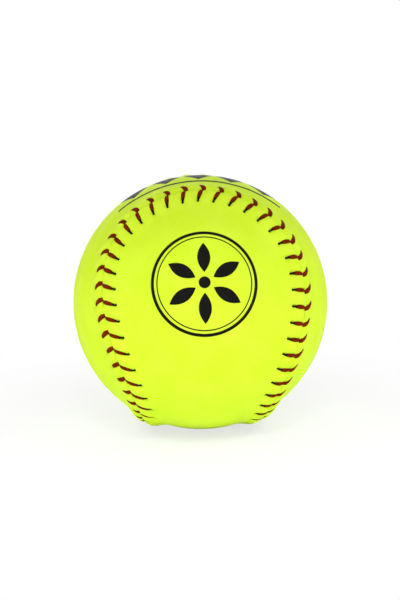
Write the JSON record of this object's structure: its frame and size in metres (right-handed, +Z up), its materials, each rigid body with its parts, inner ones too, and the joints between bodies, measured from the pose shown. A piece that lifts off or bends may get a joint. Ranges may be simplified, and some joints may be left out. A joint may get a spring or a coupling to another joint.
{
  "type": "softball",
  "caption": "Optic-yellow softball: figure-eight leather panels sewn over a moulded core with a raised herringbone seam in red thread, for pitching, batting and catching",
  "frame": {"origin": "centre of the ball", "axes": "+Z points up through the middle of the upper panel's waist and -Z through the middle of the lower panel's waist; -Y is the front, through the middle of the lower panel's front lobe; +X runs through the middle of the upper panel's right lobe"},
  "size_m": [0.097, 0.097, 0.097],
  "materials": {
    "core_foam": "moulded polyurethane, matte",
    "cover_leather": "split leather with a semi-gloss optic-yellow coat",
    "seam_thread": "waxed twisted thread, dark red"
  },
  "bodies": {
    "root": {"core": "core_foam", "lower_cover": "cover_leather", "upper_cover": "cover_leather", "first_thread": "seam_thread", "second_thread": "seam_thread"}
  },
  "joints": []
}
